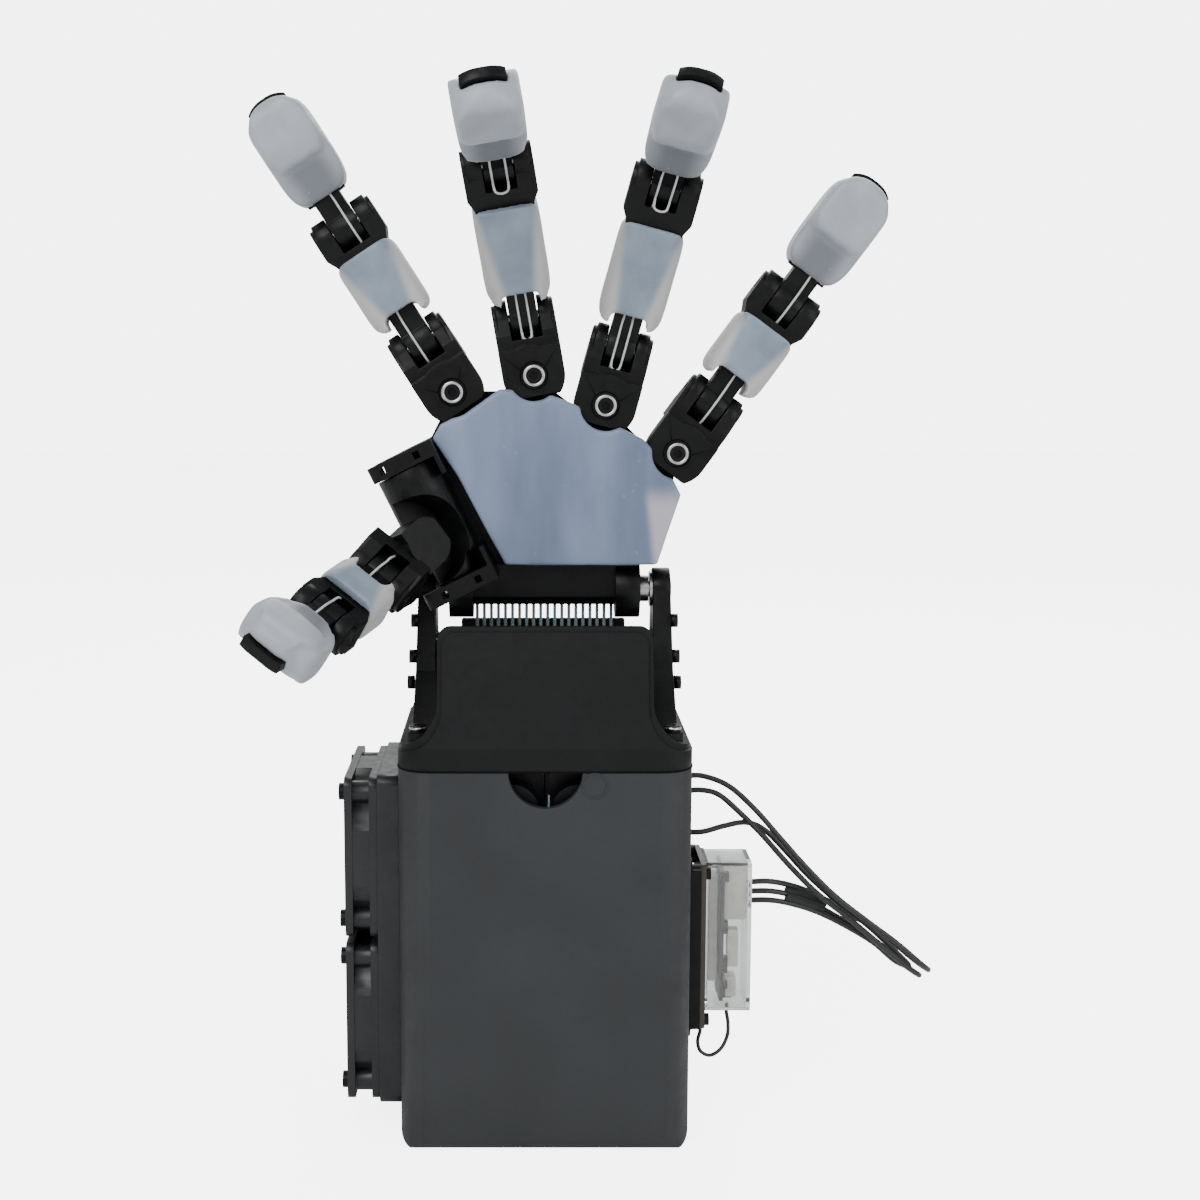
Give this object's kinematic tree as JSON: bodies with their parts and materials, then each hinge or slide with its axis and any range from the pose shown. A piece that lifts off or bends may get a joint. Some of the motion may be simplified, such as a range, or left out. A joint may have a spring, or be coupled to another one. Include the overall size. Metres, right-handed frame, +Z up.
{
  "type": "dexterous robot hand",
  "caption": "Tendon-driven left robot hand with silicone-skinned fingers and palm, standing upright on a rectangular forearm tower with side fans and a side-mounted adapter.",
  "frame": {"origin": "centre of the flange hole circle on the underside of the forearm tower", "axes": "+Z up from the flange towards the fingers, +X towards the little finger, -Y is the palm side"},
  "size_m": [0.2123, 0.1278, 0.3184],
  "materials": {
    "printed_black": "fine matt 3-D printed black plastic",
    "moulded_black": "satin moulded black plastic",
    "servo_grey": "textured dark grey servo housing",
    "steel": "machined stainless steel",
    "spool_alloy": "turned aluminium",
    "silicone": "translucent cast silicone, bluish white",
    "clear_plastic": "clear moulded polycarbonate",
    "circuit_board": "solder-masked fibreglass board with components",
    "lead_black": "black cable jacket",
    "tendon_line": "braided high-strength line, pale grey-green"
  },
  "bodies": {
    "tower": {"forearm_housing": "printed_black", "shoulder_cover": "printed_black", "servo_rack": "printed_black", "finger_servos": "servo_grey", "servo_spools": "spool_alloy", "wrist_servo": "servo_grey", "wrist_yoke": "printed_black", "wrist_bearings": "steel", "tendon_comb": "moulded_black", "wrist_tendons": "tendon_line", "fan_duct": "printed_black", "fan_frames": "moulded_black", "board_bracket": "printed_black", "circuit_boards": "circuit_board", "adapter_case": "clear_plastic", "case_screws": "steel", "bus_lead_upper": "lead_black", "bus_lead_middle": "lead_black", "bus_lead_lower": "lead_black", "link_lead": "lead_black"},
    "palm": {"palm_frame": "printed_black", "palm_skin": "silicone", "palm_back_cover": "printed_black", "wrist_shaft": "steel", "swing_bolts": "steel", "swing_bearings": "steel", "thumb_cradle": "printed_black"},
    "upper_fan": {"upper_fan_rotor": "moulded_black"},
    "lower_fan": {"lower_fan_rotor": "moulded_black"},
    "thumb_rotor": {"thumb_rotor": "printed_black"},
    "index_knuckle": {"index_knuckle": "printed_black"},
    "index_proximal": {"index_proximal": "printed_black", "index_sleeve": "silicone", "index_pins": "steel"},
    "index_distal": {"index_distal": "printed_black", "index_tip": "silicone"},
    "middle_knuckle": {"middle_knuckle": "printed_black"},
    "middle_proximal": {"middle_proximal": "printed_black", "middle_sleeve": "silicone", "middle_pins": "steel"},
    "middle_distal": {"middle_distal": "printed_black", "middle_tip": "silicone"},
    "ring_knuckle": {"ring_knuckle": "printed_black"},
    "ring_proximal": {"ring_proximal": "printed_black", "ring_sleeve": "silicone", "ring_pins": "steel"},
    "ring_distal": {"ring_distal": "printed_black", "ring_tip": "silicone"},
    "little_knuckle": {"little_knuckle": "printed_black"},
    "little_proximal": {"little_proximal": "printed_black", "little_sleeve": "silicone", "little_pins": "steel"},
    "little_distal": {"little_distal": "printed_black", "little_tip": "silicone"},
    "thumb_knuckle": {"thumb_knuckle": "printed_black"},
    "thumb_proximal": {"thumb_proximal": "printed_black", "thumb_sleeve": "silicone", "thumb_pins": "steel"},
    "thumb_distal": {"thumb_distal": "printed_black", "thumb_tip": "silicone"}
  },
  "joints": [
    {"name": "wrist_bend", "type": "hinge", "parent": "tower", "child": "palm", "pos_m": [0, 0, 0.167], "axis": [-1, 0, 0], "range_deg": [-30, 50]},
    {"name": "index_swing", "type": "hinge", "parent": "palm", "child": "index_knuckle", "pos_m": [-0.028, 0, 0.228], "axis": [0, 1, 0], "range_deg": [-5, 24]},
    {"name": "index_curl", "type": "hinge", "parent": "index_knuckle", "child": "index_proximal", "pos_m": [-0.0378, 0, 0.2431], "axis": [0.8387, 0, 0.5446], "range_deg": [-20, 90]},
    {"name": "index_straighten", "type": "hinge", "parent": "index_proximal", "child": "index_distal", "pos_m": [-0.06013, 0, 0.27748], "axis": [-0.8387, 0, -0.5446], "range_deg": [-97, 15]},
    {"name": "middle_swing", "type": "hinge", "parent": "palm", "child": "middle_knuckle", "pos_m": [-0.0033, 0, 0.233], "axis": [0, 1, 0], "range_deg": [-11, 10]},
    {"name": "middle_curl", "type": "hinge", "parent": "middle_knuckle", "child": "middle_proximal", "pos_m": [-0.00643, 0, 0.25073], "axis": [0.9848, 0, 0.1736], "range_deg": [-47, 63]},
    {"name": "middle_straighten", "type": "hinge", "parent": "middle_proximal", "child": "middle_distal", "pos_m": [-0.01416, -0.0227, 0.2946], "axis": [-0.9848, 0, -0.1736], "range_deg": [-63, 49]},
    {"name": "ring_swing", "type": "hinge", "parent": "palm", "child": "ring_knuckle", "pos_m": [0.0184, 0, 0.224], "axis": [0, 1, 0], "range_deg": [-18, 4]},
    {"name": "ring_curl", "type": "hinge", "parent": "ring_knuckle", "child": "ring_proximal", "pos_m": [0.02306, 0, 0.24139], "axis": [0.9659, 0, -0.2588], "range_deg": [-32, 78]},
    {"name": "ring_straighten", "type": "hinge", "parent": "ring_proximal", "child": "ring_distal", "pos_m": [0.03584, -0.0105, 0.2891], "axis": [-0.9659, 0, 0.2588], "range_deg": [-61, 51]},
    {"name": "little_swing", "type": "hinge", "parent": "palm", "child": "little_knuckle", "pos_m": [0.0403, 0, 0.2095], "axis": [0, 1, 0], "range_deg": [-19, 4]},
    {"name": "little_curl", "type": "hinge", "parent": "little_knuckle", "child": "little_proximal", "pos_m": [0.05088, 0, 0.22406], "axis": [0.809, 0, -0.5878], "range_deg": [-20, 90]},
    {"name": "little_straighten", "type": "hinge", "parent": "little_proximal", "child": "little_distal", "pos_m": [0.07322, 0, 0.25481], "axis": [-0.809, 0, 0.5878], "range_deg": [-97, 15]},
    {"name": "thumb_turn", "type": "hinge", "parent": "palm", "child": "thumb_rotor", "pos_m": [-0.0324, -0.011, 0.1852], "axis": [-0.4415, 0, 0.8973], "range_deg": [-40, 52]},
    {"name": "thumb_swing", "type": "hinge", "parent": "thumb_rotor", "child": "thumb_knuckle", "pos_m": [-0.03962, -0.01775, 0.18165], "axis": [0.5767, -0.766, 0.2838], "range_deg": [-45, 3]},
    {"name": "thumb_curl", "type": "hinge", "parent": "thumb_knuckle", "child": "thumb_proximal", "pos_m": [-0.04891, -0.02781, 0.17337], "axis": [-0.7783, 0.2416, 0.5796], "range_deg": [-31, 65]},
    {"name": "thumb_straighten", "type": "hinge", "parent": "thumb_proximal", "child": "thumb_distal", "pos_m": [-0.06303, -0.05286, 0.16484], "axis": [0.7783, -0.2416, -0.5796], "range_deg": [-81, 31]},
    {"name": "upper_fan_spin", "type": "hinge", "parent": "tower", "child": "upper_fan", "pos_m": [-0.056, 0, 0.087], "axis": [1, 0, 0], "continuous": true},
    {"name": "lower_fan_spin", "type": "hinge", "parent": "tower", "child": "lower_fan", "pos_m": [-0.056, 0, 0.035], "axis": [1, 0, 0], "continuous": true}
  ]
}
